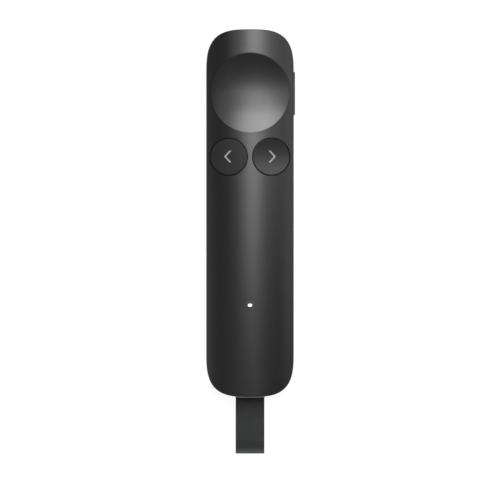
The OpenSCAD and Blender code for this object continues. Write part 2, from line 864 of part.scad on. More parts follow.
module receiver_cap() {
    root = eye_out + 0.3;
    plug_back = cap_inner - plug_seat;
    color([0.2, 0.2, 0.21]) difference() {
        union() {
            intersection() {
                bar(receiver_w, receiver_t, 1, lower_end - past, cap_inner, receiver_z);
                translate([0, 0, -past]) linear_extrude(2 * body_t) polygon(outline(0));
            }
            for (side = [-1, 1]) block(
                [-ribbon_w / 2 - 0.1, lower_end - lip_reach,
                    receiver_z + side * (mouth_half + lip_bar / 2) - lip_bar / 2],
                [ribbon_w / 2 + 0.1, lower_end + past,
                    receiver_z + side * (mouth_half + lip_bar / 2) + lip_bar / 2]);
        }
        translate([-pocket_w / 2, 0, 0]) rotate([90, 0, 90]) linear_extrude(pocket_w)
            polygon([[tab_pin_y + root, receiver_z - root], [tab_pin_y + root, receiver_z + root],
                [tab_pin_y, receiver_z + root],
                [lower_end - 0.4, receiver_z + mouth_half],
                [lower_end - past, receiver_z + mouth_half],
                [lower_end - past, receiver_z - mouth_half],
                [lower_end - 0.4, receiver_z - mouth_half],
                [tab_pin_y, receiver_z - root]]);
        bar(plug_w + 2 * slip, plug_t + 2 * slip, 0.5, plug_back - slip, cap_inner + past,
            receiver_z);
        translate([-receiver_w, tab_pin_y, receiver_z]) rotate([0, 90, 0])
            cylinder(d = tab_pin_d + 2 * thread_slip, h = 2 * receiver_w);
    }
}

// Latch windows of the plug
window_in = 6.2;
window_x = 2.85;
window_w = 2.5;
window_l = 2;

module usb_plug_shell() {
    window_y = plug_tip - window_in;
    color([0.78, 0.79, 0.8]) difference() {
        bar(plug_w, plug_t, 0.45, cap_inner - plug_seat, plug_tip, receiver_z);
        bar(plug_w - 2 * plug_sheet, plug_t - 2 * plug_sheet, 0.2, cap_inner - plug_seat - past,
            plug_tip + past, receiver_z);
        for (side = [-1, 1]) block(
            [side * window_x - window_w / 2, window_y - window_l / 2, receiver_z - plug_t],
            [side * window_x + window_w / 2, window_y + window_l / 2, receiver_z + plug_t]);
    }
}

tongue_t = 1.85;
tongue_low = receiver_z - plug_t / 2 + plug_sheet;
tongue_top = tongue_low + tongue_t;

module usb_tongue() {
    color([0.93, 0.93, 0.92]) bar(plug_w - 2 * plug_sheet - 4 * slip, tongue_t, 0.3,
        cap_inner - plug_seat, plug_tip - 0.5, tongue_low + tongue_t / 2);
}

// The outer two contacts reach nearer the tip than the inner two
contact_w = 1;
contact_t = 0.1;
contact_outer = 3.5;
contact_inner = 1;
contact_back = 1;

module usb_contacts() {
    color([0.85, 0.7, 0.35]) for (x = [contact_outer, contact_inner]) for (side = [-1, 1]) block(
        [side * x - contact_w / 2, cap_inner, tongue_top],
        [side * x + contact_w / 2, plug_tip - contact_back * (x == contact_outer ? 1 : 2),
            tongue_top + contact_t]);
}

stick_w = 10;
stick_l = 4.7;
stick_t = 0.6;
chip_w = 3.6;
chip_t = 0.8;

module receiver_board() {
    low = tongue_top + contact_t + slip;
    back = cap_inner - plug_seat + 2 * slip;
    mid = back + stick_l / 2;
    color([0.08, 0.25, 0.15]) union() {
        block([-stick_w / 2, back, low], [stick_w / 2, back + stick_l, low + stick_t]);
        block([-chip_w / 2, mid - chip_w / 2, low + stick_t / 2],
            [chip_w / 2, mid + chip_w / 2, low + stick_t / 2 + chip_t]);
    }
}

module tab_pin() {
    color([0.7, 0.7, 0.72]) translate([-receiver_w / 2 + 0.3, tab_pin_y, receiver_z])
        rotate([0, 90, 0]) cylinder(d = tab_pin_d, h = receiver_w - 0.6);
}

// Ribbon: looped round the pin, two plies flat together, and folded over at the tip
module pull_tab() {
    tip_r = ribbon_t + 0.2;
    tip_y = lower_end - ribbon_out;
    color([0.24, 0.25, 0.245]) translate([-ribbon_w / 2, 0, receiver_z]) rotate([90, 0, 90])
        linear_extrude(ribbon_w) difference() {
            union() {
                translate([tab_pin_y, 0]) circle(r = eye_out);
                polygon([[tab_pin_y, eye_out - 0.15], [tab_pin_y - 3, ribbon_t],
                    [tip_y + tip_r, ribbon_t], [tip_y + tip_r, -ribbon_t],
                    [tab_pin_y - 3, -ribbon_t], [tab_pin_y, 0.15 - eye_out]]);
                translate([tip_y + tip_r, 0]) circle(r = tip_r);
            }
            translate([tab_pin_y, 0]) circle(r = eye_r);
            translate([tip_y + tip_r, 0]) circle(r = 0.2);
        }
}

top_shell();
back_cover();
dish_key();
back_key();
forward_key();
back_chevron();
forward_chevron();
side_key();
light_pipe();
main_board();
dish_switch_base();
dish_switch_plunger();
back_switch_base();
back_switch_plunger();
forward_switch_base();
forward_switch_plunger();
side_switch_base();
side_switch_plunger();
status_led();
radio_shield();
antenna_chip();
battery_cell();
battery_pad();
battery_connector();
battery_leads();
charge_port_shell();
charge_port_tongue();
receiver_dock();
dock_spring();
receiver_cap();
usb_plug_shell();
usb_tongue();
usb_contacts();
receiver_board();
tab_pin();
pull_tab();
board_screws();
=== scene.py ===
import json
import math
from collections import namedtuple

import bmesh
import bpy
import numpy as np
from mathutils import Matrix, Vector

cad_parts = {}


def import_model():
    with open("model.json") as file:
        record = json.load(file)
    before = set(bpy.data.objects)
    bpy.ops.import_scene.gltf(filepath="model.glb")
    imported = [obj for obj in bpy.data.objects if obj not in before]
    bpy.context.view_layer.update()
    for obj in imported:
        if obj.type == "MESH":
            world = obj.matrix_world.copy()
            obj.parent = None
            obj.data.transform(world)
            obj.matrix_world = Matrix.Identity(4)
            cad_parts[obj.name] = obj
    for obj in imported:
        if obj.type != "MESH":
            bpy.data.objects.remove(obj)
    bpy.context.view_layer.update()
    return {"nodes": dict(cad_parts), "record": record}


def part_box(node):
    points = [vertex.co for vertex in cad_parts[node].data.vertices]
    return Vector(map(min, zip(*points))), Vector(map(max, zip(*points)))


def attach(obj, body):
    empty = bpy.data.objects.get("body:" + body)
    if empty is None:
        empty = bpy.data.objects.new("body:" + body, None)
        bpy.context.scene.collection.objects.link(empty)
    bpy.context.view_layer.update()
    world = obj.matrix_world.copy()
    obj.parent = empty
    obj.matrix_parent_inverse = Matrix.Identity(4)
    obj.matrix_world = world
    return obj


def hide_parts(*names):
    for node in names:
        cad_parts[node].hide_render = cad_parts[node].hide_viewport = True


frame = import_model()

MM = 0.001
NODES = frame["nodes"]

# Camera: straight above, with a long lens
PHOTO_WIDTH = 173.3 * MM
CAMERA_Y = -12.78 * MM
LENS = 300.0
SENSOR = 36.0
CLIP_START = 0.1
CLIP_END = 10.0

# Housing
SHELL_LOW, SHELL_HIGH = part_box("top_shell")
HALF_W = SHELL_HIGH.x
HALF_L = SHELL_HIGH.y
BODY_T = SHELL_HIGH.z
SEAM_Z = SHELL_LOW.z
END_DEPTH = 15.8 * MM
END_POWER = 3.2
CROWN_R = 45 * MM
FACE_EDGE_R = 0.3 * MM
BACK_EDGE_R = 2.4 * MM
SIDE_WALL = 1.1 * MM
FACE_WALL = 1.4 * MM
BACK_WALL = 1.4 * MM
SHELL_ROLL_R = 0.5 * MM
COVER_ROLL_R = 0.8 * MM
PART_GAP = 0.08 * MM
LIP_T = 0.8 * MM
LIP_H = 1.1 * MM
MOUTH_R = 1 * MM
MOUTH_DEPTH = 3 * MM
WINDOW_DEPTH = 3 * MM
DOCK_GAP = 0.3 * MM
END_CENTRE = HALF_L - END_DEPTH

# Clearance between fitted pieces, and how far a cutter runs past what it cuts
SLIP = 0.05 * MM
PAST = 1 * MM

# Round keys: seams, faces, skirts and flanges
DISH_SEAM = 0.15 * MM
DISH_DEPTH = 1 * MM
# How far the dish's deepest place lies towards the small keys, 0 for its middle
DISH_LEAN = 0.2
DISH_WALL = 1.3 * MM
KEY_RING = 0.41 * MM
KEY_SET = 0.2 * MM
# Back key's crown, in radii of the housing's
BACK_FLATNESS = 4
FORWARD_HOLLOW = 0.2 * MM
# Slope along the body of the forward key's face, upward to the dish
FORWARD_LEAN = 0.018
SKIRT_T = 1.2 * MM
STEM_R = 1.5 * MM
FLANGE_OVER = 0.5 * MM
FLANGE_T = 0.6 * MM
FLANGE_TRIM = 13 * MM
COLLAR_WALL = 0.5 * MM
COLLAR_DROP = 0.75 * MM
# Finer fits than the solids': radius added to the cap, its rim's radius and its hole's chamfer
Fit = namedtuple("Fit", "grow rim chamfer")
DISH_FIT = Fit(0.09 * MM, 0.04 * MM, 0.03 * MM)
KEY_FIT = Fit(0.06 * MM, 0.05 * MM, 0.04 * MM)
# How much nearer the lower end the photo has each round key than its node
KEY_SHIFT = {"dish_key": 0.3 * MM, "back_key": 0.09 * MM, "forward_key": 0.09 * MM}

# Side key
SIDE_SLOT = 0.15 * MM
SIDE_FLANGE_IN = 0.8 * MM
SIDE_FLANGE_T = 0.6 * MM
SIDE_EDGE_R = 0.12 * MM

# Chevrons
CHEVRON_STROKE = 0.49 * MM
CHEVRON_DEPTH = 0.25 * MM
CHEVRON_STEPS = 8
MARK_PROUD = 0.012 * MM
# How much wider across and longer along the body the photo has them than their nodes
MARK_WIDER = 0.12 * MM
MARK_LONGER = -0.12 * MM

# Status light's window
WINDOW_EDGE = 0.05 * MM
WINDOW_PROUD = 0.005 * MM

# Receiver's lips, pale as a painted highlight along the mouth's edge: how far they cover the cap's
# own and reach out, and their bead's radius
LIP_COVER = 0.02 * MM
LIP_REACH = 0.29 * MM
LIP_BEAD_R = 0.08 * MM
LIP_STEPS = 33

# Ribbon
PLY_T = 0.55 * MM
PLY_GAP = 0.08 * MM
PLY_EDGE_SHARE = 0.42
# Where the plies have come together after the loop, and the swelling before the fold
SHUT_LENGTH = 4 * MM
SWELL_LENGTH = 5 * MM
FOLD_H = 0.8 * MM
FOLD_L = 1.7 * MM

# Smoothness
END_STEPS = 96
ROLL_STEPS = 16
INNER_ROLL_STEPS = 4
ROUND_STEPS = 256
CAP_RINGS = 48
RIM_STEPS = 6
UNDER_RINGS = 13
SIDE_EDGE_STEPS = 8
LOOP_STEPS = 24
EASE_STEPS = 12
RUN_STEPS = 30
SWELL_STEPS = 16

# Search for a point's inset: its range starts this far outside the outline and ends this far
# from the middle line. FAR_OUT keeps a power finite, and SLOPE_STEP is between two insets
SEARCH_MARGIN = 1 * MM
HALVINGS = 40
FAR_OUT = 9
SLOPE_STEP = 0.01 * MM
TINY = 1e-12

# Points this near a limit count as being at it, and how far above the flange a cap is read
NEAR = 0.02 * MM
ABOVE_FLANGE = 0.2 * MM


# Places read from the CAD nodes ---------------------------------------------------------------

def node_points(node):
    """Points of a CAD node, which has no turn or shift of its own."""
    return np.array([v.co for v in NODES[node].data.vertices])


def flange_top():
    """Height of the keys' flanges: where the forward key is wider than its cap."""
    points = node_points("forward_key")
    wide = points[points[:, 1] > points[:, 1].max() - NEAR]
    return float(wide[:, 2].max())


def light_box():
    """Box of the light pipe's end, which is narrower than its collar under the face."""
    points = node_points("light_pipe")
    end = points[points[:, 2] > BODY_T - FACE_WALL / 2]
    return Vector(end.min(0)), Vector(end.max(0))


def key_place(node):
    """Middle and radius of a round key, from its cap's box above the flange and its shift."""
    points = node_points(node)
    cap = points[points[:, 2] > FLANGE_TOP + ABOVE_FLANGE]
    low, high = cap.min(0), cap.max(0)
    middle_y = (low[1] + high[1]) / 2 - KEY_SHIFT[node]
    return (low[0] + high[0]) / 2, middle_y, (high[1] - low[1]) / 2


FLANGE_TOP = flange_top()
COLLAR_Z = FLANGE_TOP + SLIP
LIGHT_BOX = light_box()


# Meshes ---------------------------------------------------------------------------------------

def mesh_object(name, points, faces):
    """A closed mesh with its faces turned outward."""
    mesh = bpy.data.meshes.new(name)
    mesh.from_pydata([tuple(p) for p in points], [], faces)
    shell = bmesh.new()
    shell.from_mesh(mesh)
    bmesh.ops.recalc_face_normals(shell, faces=shell.faces)
    shell.to_mesh(mesh)
    shell.free()
    piece = bpy.data.objects.new(name, mesh)
    bpy.context.scene.collection.objects.link(piece)
    return piece


def ring_bands(count, sides):
    """Quads between each of count rings of equal length and the next."""
    return [(k * sides + i, k * sides + (i + 1) % sides,
             (k + 1) * sides + (i + 1) % sides, (k + 1) * sides + i)
            for k in range(count - 1) for i in range(sides)]


def fan(base, sides, centre):
    """Triangles from a ring to its centre point."""
    return [(base + i, base + (i + 1) % sides, centre) for i in range(sides)]


def strips(base, sides):
    """Quads that join one end of the outline's ring to its mirror image."""
    half = sides // 2
    return [(base + i, base + i + 1, base + sides - 2 - i, base + sides - 1 - i)
            for i in range(half - 1)]


def turned_piece(name, rings, top, bottom):
    """A closed piece through round rings, from a centre point above to one below."""
    sides = len(rings[0])
    points = [p for ring in rings for p in ring] + [top, bottom]
    last = (len(rings) - 1) * sides
    faces = (fan(0, sides, len(points) - 2) + ring_bands(len(rings), sides)
             + fan(last, sides, len(points) - 1))
    return mesh_object(name, points, faces)


def cup_piece(name, rings):
    """A closed piece through the outline's rings, with strips across the first and last."""
    sides = len(rings[0])
    points = [p for ring in rings for p in ring]
    faces = (strips(0, sides) + ring_bands(len(rings), sides)
             + strips((len(rings) - 1) * sides, sides))
    return mesh_object(name, points, faces)


def capped_piece(name, rings):
    """A closed piece through rings of equal length, with one face over the first and last."""
    sides = len(rings[0])
    points = [p for ring in rings for p in ring]
    faces = ring_bands(len(rings), sides) + [
        tuple(range(sides)), tuple(range(len(points) - sides, len(points)))]
    return mesh_object(name, points, faces)


def cut_piece(piece, tool, operation):
    """Applies a boolean with tool to piece, and removes tool."""
    step = piece.modifiers.new("cut", "BOOLEAN")
    step.object = tool
    step.operation = operation
    step.solver = "EXACT"
    with bpy.context.temp_override(object=piece, active_object=piece):
        bpy.ops.object.modifier_apply(modifier=step.name)
    bpy.data.objects.remove(tool)


def smooth(piece, angle=30):
    """Shades piece smooth, apart from edges sharper than angle degrees."""
    piece.data.polygons.foreach_set("use_smooth", [True] * len(piece.data.polygons))
    piece.data.set_sharp_from_angle(angle=math.radians(angle))


def dress(piece, body, slot, material, *nodes):
    """Sets piece's material and body, and hides the CAD nodes that it stands for; slot is not used.
    """
    piece.data.materials.clear()
    piece.data.materials.append(material)
    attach(piece, body)
    if nodes:
        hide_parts(*nodes)


def matt_inside(piece, chosen):
    """Gives the chosen faces, told by their centres, the matt finish of inner surfaces."""
    piece.data.materials.append(INSIDE)
    centres = np.array([polygon.center for polygon in piece.data.polygons])
    piece.data.polygons.foreach_set("material_index", chosen(centres).astype(int))


# Forms of the housing -------------------------------------------------------------------------

def crown_z(x):
    """Height of the crowned face at a distance x from the middle line."""
    return BODY_T - CROWN_R + np.sqrt(CROWN_R ** 2 - np.square(x))


def outline(inset):
    """Housing's outline drawn in by inset: one superellipse end, and the same turned round."""
    bearing = np.linspace(0, math.pi, END_STEPS + 1)
    c, s = np.cos(bearing), np.sin(bearing)
    reach = (np.abs(c) ** END_POWER + np.abs(s) ** END_POWER) ** (-1 / END_POWER)
    end = np.stack([(HALF_W - inset) * c * reach,
                    END_CENTRE + (END_DEPTH - inset) * s * reach], 1)
    return np.concatenate([end, -end])


def level_ring(inset, z):
    """Housing's outline at one height."""
    flat = outline(inset)
    return np.column_stack([flat, np.full(len(flat), z)])


def face_ring(inset, drop):
    """Housing's outline at a drop under the crown."""
    flat = outline(inset)
    return np.column_stack([flat, crown_z(flat[:, 0]) - drop])


def rolls(radius, steps):
    """Inset and drop along a quarter round, from upright at its outside to level."""
    angles = np.linspace(0, math.pi / 2, steps + 1)
    return [(radius * (1 - math.cos(a)), radius * (1 - math.sin(a))) for a in angles]


def inset_at(x, y):
    """Inset of the outline that runs through each point, found by halving."""
    x, y = np.abs(x), np.abs(y) - END_CENTRE
    low = np.full(x.shape, -SEARCH_MARGIN)
    high = np.full(x.shape, HALF_W - SEARCH_MARGIN)
    for _ in range(HALVINGS):
        middle = (low + high) / 2
        u = x / (HALF_W - middle)
        v = np.maximum(y, 0) / (END_DEPTH - middle)
        outside = u ** END_POWER + np.minimum(v, FAR_OUT) ** END_POWER > 1
        high = np.where(outside, middle, high)
        low = np.where(outside, low, middle)
    return low


def housing_normals(points):
    """Normals of the housing's side, rolled edge and crown at points near its outer surface."""
    x, y = points[:, 0], points[:, 1]
    inset = inset_at(x, y)
    out = np.stack([inset_at(x - SLOPE_STEP, y) - inset_at(x + SLOPE_STEP, y),
                    inset_at(x, y - SLOPE_STEP) - inset_at(x, y + SLOPE_STEP)], 1)
    out /= np.maximum(np.linalg.norm(out, axis=1, keepdims=True), TINY)
    cosine = np.clip((FACE_EDGE_R - inset) / FACE_EDGE_R, 0, 1)
    below = points[:, 2] < crown_z(x) - FACE_EDGE_R
    cosine = np.where(below, 1, cosine)
    sine = np.sqrt(1 - cosine ** 2)
    crown = np.stack([x / CROWN_R, 0 * x, np.sqrt(1 - np.square(x / CROWN_R))], 1)
    normals = np.concatenate([out * cosine[:, None], np.zeros((len(x), 1))], 1)
    normals += crown * sine[:, None]
    return normals / np.maximum(np.linalg.norm(normals, axis=1, keepdims=True), TINY)


def true_normals(piece, rule, alike=0.97):
    """Gives piece the rule's normals wherever its own faces lie along them."""
    mesh = piece.data
    loops = len(mesh.loops)
    own = np.empty(loops * 3)
    mesh.corner_normals.foreach_get("vector", own)
    own = own.reshape(-1, 3)
    points = np.array([v.co for v in mesh.vertices])
    corner = np.empty(loops, int)
    mesh.loops.foreach_get("vertex_index", corner)
    face = np.repeat(np.arange(len(mesh.polygons)), [p.loop_total for p in mesh.polygons])
    face_normals = np.array([p.normal for p in mesh.polygons])[face]
    wanted = rule(points[corner])
    follows = np.sum(face_normals * wanted, 1) > alike
    # A face takes the rule at all of its corners or at none
    all_follow = np.ones(len(mesh.polygons), bool)
    np.logical_and.at(all_follow, face, follows)
    mesh.normals_split_custom_set(np.where(all_follow[face][:, None], wanted, own))


def round_ring(x, y, radius, height):
    """Ring about an upright axis, whose height is a number or a function of its points."""
    turn = np.linspace(0, 2 * math.pi, ROUND_STEPS, endpoint=False)
    px, py = x + radius * np.cos(turn), y + radius * np.sin(turn)
    z = height(px, py) if callable(height) else np.full(len(turn), height)
    return np.column_stack([px, py, z])


def hole_tool(name, x, y, radius, low, chamfer):
    """Cutter for a key's hole, with a fine chamfer along the crowned face."""
    def crown(drop):
        return lambda px, py: crown_z(px) - drop
    wide = radius + 2 * chamfer
    rings = [round_ring(x, y, wide, BODY_T + PAST), round_ring(x, y, wide, crown(-chamfer)),
             round_ring(x, y, radius, crown(chamfer)), round_ring(x, y, radius, low)]
    return turned_piece(name, rings, (x, y, BODY_T + PAST), (x, y, low))


def rounded_ring(width, height, radius, place, steps=8):
    """Rounded rectangle's points, each put into space by place(u, v)."""
    points = []
    for quarter in range(4):
        sx = 1 if quarter in (0, 3) else -1
        sy = 1 if quarter < 2 else -1
        for a in np.linspace(0, math.pi / 2, steps + 1) + quarter * math.pi / 2:
            points.append(place(sx * (width / 2 - radius) + radius * math.cos(a),
                                sy * (height / 2 - radius) + radius * math.sin(a)))
    return points


# Materials ------------------------------------------------------------------------------------

# Range that a noise texture mostly keeps to
NOISE_LOW = 0.3
NOISE_HIGH = 0.7


def new_material(name, color, roughness, **sockets):
    """Principled material of one colour and roughness, and of other sockets by their names."""
    material = bpy.data.materials.new(name)
    material.use_nodes = True
    shader = material.node_tree.nodes["Principled BSDF"]
    shader.inputs["Base Color"].default_value = (*color, 1)
    shader.inputs["Roughness"].default_value = roughness
    for socket, value in sockets.items():
        shader.inputs[socket.replace("_", " ")].default_value = value
    return material


def add_node(material, kind, **settings):
    node = material.node_tree.nodes.new(kind)
    for key, value in settings.items():
        if key in node.inputs:
            node.inputs[key].default_value = value
        else:
            setattr(node, key, value)
    return node


def link(material, source, target):
    material.node_tree.links.new(source, target)


def grain(material, scale, depth, spread, rough_low, rough_high):
    """Fine bumps, depth metres deep, and broader patches of more and less roughness."""
    shader = material.node_tree.nodes["Principled BSDF"]
    place = add_node(material, "ShaderNodeTexCoord")
    fine = add_node(material, "ShaderNodeTexNoise", Scale=scale, Detail=3.0, Roughness=0.6)
    broad = add_node(material, "ShaderNodeTexNoise", Scale=scale / spread, Detail=2.0)
    bump = add_node(material, "ShaderNodeBump", Distance=depth, Strength=1.0)
    ends = add_node(material, "ShaderNodeMapRange")
    ends.inputs["From Min"].default_value = NOISE_LOW
    ends.inputs["From Max"].default_value = NOISE_HIGH
    ends.inputs["To Min"].default_value = rough_low
    ends.inputs["To Max"].default_value = rough_high
    link(material, place.outputs["Object"], fine.inputs["Vector"])
    link(material, place.outputs["Object"], broad.inputs["Vector"])
    link(material, fine.outputs["Fac"], bump.inputs["Height"])
    link(material, bump.outputs["Normal"], shader.inputs["Normal"])
    link(material, broad.outputs["Fac"], ends.inputs["Value"])
    link(material, ends.outputs["Result"], shader.inputs["Roughness"])
    return material


def plastic(name, tone, roughness):
    """Fine-textured black or grey moulding."""
    material = new_material(name, (tone, tone, tone * 1.02), roughness)
    return grain(material, scale=9000, depth=0.0004 * MM, spread=12,
                 rough_low=roughness - 0.01, rough_high=roughness + 0.01)


def metal(name, color, roughness):
    """Rolled sheet metal: a fine grain, and patches of more and less polish."""
    material = new_material(name, color, roughness, Metallic=1.0)
    return grain(material, scale=5000, depth=0.0015 * MM, spread=8,
                 rough_low=roughness - 0.06, rough_high=roughness + 0.08)


def light_material():
    """Clear pipe that shines white from the lamp below it."""
    material = new_material("status_light_white", (0.9, 0.9, 0.9), 0.25,
                            Emission_Color=(1, 1, 1, 1), Emission_Strength=0.8)
    return grain(material, scale=3000, depth=0.001 * MM, spread=4,
                 rough_low=0.22, rough_high=0.3)


RIBBON_TONE = (0.030, 0.032, 0.031)
# Painted shadow and highlight along the tape: share of the way from the housing to the tip, and how
# much of the tone shows there
RIBBON_PAINTED_LIGHT = [(0, 0.45), (0.45, 1.1), (0.68, 1.0), (0.87, 0.72), (1, 2.9)]


def ribbon_material():
    """Tight woven tape: fine ribs across it and threads along it, with a painted shadow near the
    housing and a painted highlight along the fold.
    """
    material = new_material("woven_tape", RIBBON_TONE, 0.75, Sheen_Weight=0.6,
                            Sheen_Roughness=0.35, Specular_IOR_Level=0.3)
    shader = material.node_tree.nodes["Principled BSDF"]

    def painted_tone(lightness):
        return (*[tone * lightness for tone in RIBBON_TONE], 1)
    place = add_node(material, "ShaderNodeTexCoord")
    across = add_node(material, "ShaderNodeTexWave", bands_direction="Y", Scale=900.0,
                      Distortion=0.6, Detail=1.0)
    along = add_node(material, "ShaderNodeTexWave", bands_direction="X", Scale=700.0,
                     Distortion=0.6, Detail=1.0)
    weave = add_node(material, "ShaderNodeMath", operation="MULTIPLY")
    bump = add_node(material, "ShaderNodeBump", Distance=0.03 * MM, Strength=0.8)
    for wave in (across, along):
        link(material, place.outputs["Object"], wave.inputs["Vector"])
    # Painted light along the tape: a painted shadow darkest at the housing, a little painted shade
    # before the fold, and a painted highlight along the fold
    split = add_node(material, "ShaderNodeSeparateXYZ")
    reach = add_node(material, "ShaderNodeMapRange")
    reach.inputs["From Min"].default_value = -HALF_L
    reach.inputs["From Max"].default_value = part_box("pull_tab")[0].y
    painted_light = add_node(material, "ShaderNodeValToRGB")
    ramp = painted_light.color_ramp
    ramp.interpolation = "EASE"
    # A new ramp has a colour at 0 and one at 1
    ramp.elements[0].color = painted_tone(RIBBON_PAINTED_LIGHT[0][1])
    ramp.elements[1].color = painted_tone(RIBBON_PAINTED_LIGHT[-1][1])
    for at, lightness in RIBBON_PAINTED_LIGHT[1:-1]:
        ramp.elements.new(at).color = painted_tone(lightness)
    link(material, place.outputs["Object"], split.inputs["Vector"])
    link(material, split.outputs["Y"], reach.inputs["Value"])
    link(material, reach.outputs["Result"], painted_light.inputs["Fac"])
    link(material, painted_light.outputs["Color"], shader.inputs["Base Color"])
    link(material, across.outputs["Fac"], weave.inputs[0])
    link(material, along.outputs["Fac"], weave.inputs[1])
    link(material, weave.outputs["Value"], bump.inputs["Height"])
    link(material, bump.outputs["Normal"], shader.inputs["Normal"])
    return material


HOUSING = plastic("housing_plastic", 0.009, 0.2)
KEY = plastic("key_plastic", 0.009, 0.2)
SMALL_KEY = plastic("small_key_plastic", 0.016, 0.2)
SIDE = plastic("side_key_plastic", 0.009, 0.6)
# Near-white lips along the receiver's mouth: a painted highlight on its edge
LIP_HIGHLIGHT = plastic("receiver_lip_painted_highlight", 0.8, 0.5)
DARK = plastic("dock_plastic", 0.02, 0.45)
INSIDE = plastic("inner_plastic", 0.07, 0.8)
for matt in (SIDE, INSIDE):
    matt.node_tree.nodes["Principled BSDF"].inputs["Specular IOR Level"].default_value = 0.3
WHITE = plastic("plug_tongue_plastic", 0.75, 0.4)
MARK = plastic("mark_paint", 0.4, 0.5)
LIGHT = light_material()
RIBBON = ribbon_material()
STEEL = metal("steel", (0.55, 0.55, 0.56), 0.3)
NICKEL = metal("nickel_sheet", (0.62, 0.61, 0.59), 0.28)
GOLD = metal("contact_plating", (0.8, 0.62, 0.28), 0.25)
BRONZE = metal("spring_bronze", (0.6, 0.42, 0.22), 0.35)

# CAD nodes keep their shapes: what each of the record's slots is made of
SLOT_MATERIALS = {
    "board": grain(new_material("solder_mask", (0.012, 0.05, 0.025), 0.35),
                   scale=2500, depth=0.004 * MM, spread=6, rough_low=0.3, rough_high=0.42),
    "switch_metal": STEEL,
    "switch_plunger": DARK,
    "led": plastic("lamp_body", 0.7, 0.4),
    "chip": plastic("chip_ceramic", 0.55, 0.5),
    "battery_foil": metal("battery_foil", (0.7, 0.7, 0.72), 0.42),
    "foam": grain(new_material("foam", (0.03, 0.03, 0.032), 0.9),
                  scale=4000, depth=0.05 * MM, spread=4, rough_low=0.85, rough_high=0.95),
    "connector": plastic("connector_nylon", 0.6, 0.45),
    "lead": plastic("lead_sleeve", 0.03, 0.45),
    "connector_metal": NICKEL,
    "tongue": DARK,
    "dock": DARK,
    "spring": BRONZE,
    "receiver": HOUSING,
    "plug_tongue": WHITE,
    "contacts": GOLD,
    "pin": STEEL,
    "ribbon": RIBBON,
    "screw": STEEL,
    "housing": HOUSING,
    "key": KEY,
    "mark": MARK,
    "side_key": SIDE,
    "light_pipe": LIGHT,
}


def dress_cad_nodes():
    """Gives every CAD node the material of its slot in the record."""
    for row in frame["record"]["subparts"]:
        for held in NODES[row["node"]].material_slots:
            held.material = SLOT_MATERIALS[row["material_slot"]]


# Pieces ---------------------------------------------------------------------------------------

def top_shell():
    """Crowned housing with rolled edges, side walls and holes for the keys."""
    rings = [face_ring(i, d) for i, d in reversed(rolls(FACE_EDGE_R, ROLL_STEPS))]
    rings += [level_ring(0, SEAM_Z), level_ring(SIDE_WALL, SEAM_Z)]
    rings += [face_ring(SIDE_WALL + i, FACE_WALL + d)
              for i, d in rolls(SHELL_ROLL_R, INNER_ROLL_STEPS)]
    shell = cup_piece("housing_shell", rings)
    keys = [("dish_key", DISH_SEAM, DISH_FIT), ("back_key", KEY_RING, KEY_FIT),
            ("forward_key", KEY_RING, KEY_FIT)]
    for key, gap, fit in keys:
        x, y, radius = key_place(key)
        wide = radius + gap + COLLAR_WALL
        collar = turned_piece(
            key + "_collar",
            [round_ring(x, y, wide, crown_under), round_ring(x, y, wide, COLLAR_Z)],
            (x, y, float(crown_under(x, y))), (x, y, COLLAR_Z))
        cut_piece(shell, collar, "UNION")
    for key, gap, fit in keys:
        x, y, radius = key_place(key)
        cut_piece(shell, hole_tool(key + "_hole", x, y, radius + gap, COLLAR_Z - PAST / 4,
                                   fit.chamfer), "DIFFERENCE")
    low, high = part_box("side_key")
    slot_w = high.y - low.y - 2 * SIDE_FLANGE_IN + 2 * SIDE_SLOT
    slot_h = high.z - low.z - SIDE_FLANGE_IN + 2 * SIDE_SLOT
    middle = (low + high) / 2

    def side(x):
        return rounded_ring(slot_w, slot_h, slot_h / 2 - SLIP,
                            lambda u, v: (x, middle.y + u, middle.z + v))
    cut_piece(shell, capped_piece("side_slot", [side(HALF_W - 2 * SIDE_WALL),
                                                side(HALF_W + PAST)]), "DIFFERENCE")
    low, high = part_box("receiver_cap")
    gap = 2 * SLIP
    middle = (low + high) / 2

    def mouth(y):
        return rounded_ring(high.x - low.x + 2 * gap, high.z - low.z + 2 * gap, MOUTH_R,
                            lambda u, v: (middle.x + u, y, middle.z + v))
    cut_piece(shell, capped_piece("mouth", [mouth(-HALF_L - PAST),
                                            mouth(-HALF_L + MOUTH_DEPTH)]), "DIFFERENCE")
    low, high = LIGHT_BOX

    def window(z):
        return rounded_ring(high.x - low.x + 2 * SLIP, high.y - low.y + 2 * SLIP,
                            (high.y - low.y) / 2, lambda u, v: (u, (low.y + high.y) / 2 + v, z))
    cut_piece(shell, capped_piece("window", [window(BODY_T - WINDOW_DEPTH),
                                             window(BODY_T + PAST)]), "DIFFERENCE")
    smooth(shell)
    true_normals(shell, housing_normals)
    dress(shell, "housing", "housing", HOUSING, "top_shell")
    matt_inside(shell, lambda c: (c[:, 2] < crown_z(c[:, 0]) - FACE_WALL / 4)
                & (inset_at(c[:, 0], c[:, 1]) > SIDE_WALL / 2))


def crown_under(x, y):
    """Height inside the face's wall, where the keys' collars begin."""
    return crown_z(x) - FACE_WALL / 2


def cap_rings(x, y, radius, height, edge):
    """Rings over a round cap: its face, then the edge rolled round it."""
    face = [round_ring(x, y, (radius - edge) * k / CAP_RINGS, height)
            for k in range(1, CAP_RINGS + 1)]
    for a in np.linspace(0, math.pi / 2, RIM_STEPS + 1)[1:]:
        drop = edge * (1 - math.cos(a))
        face.append(round_ring(x, y, radius - edge + edge * math.sin(a),
                               lambda px, py: height(px, py) - drop))
    return face


def flange_ring(x, y, radius, z):
    """Level ring, cut straight where the housing's sides would be in its way."""
    ring = round_ring(x, y, radius, z)
    ring[:, 0] = np.clip(ring[:, 0], -FLANGE_TRIM, FLANGE_TRIM)
    return ring


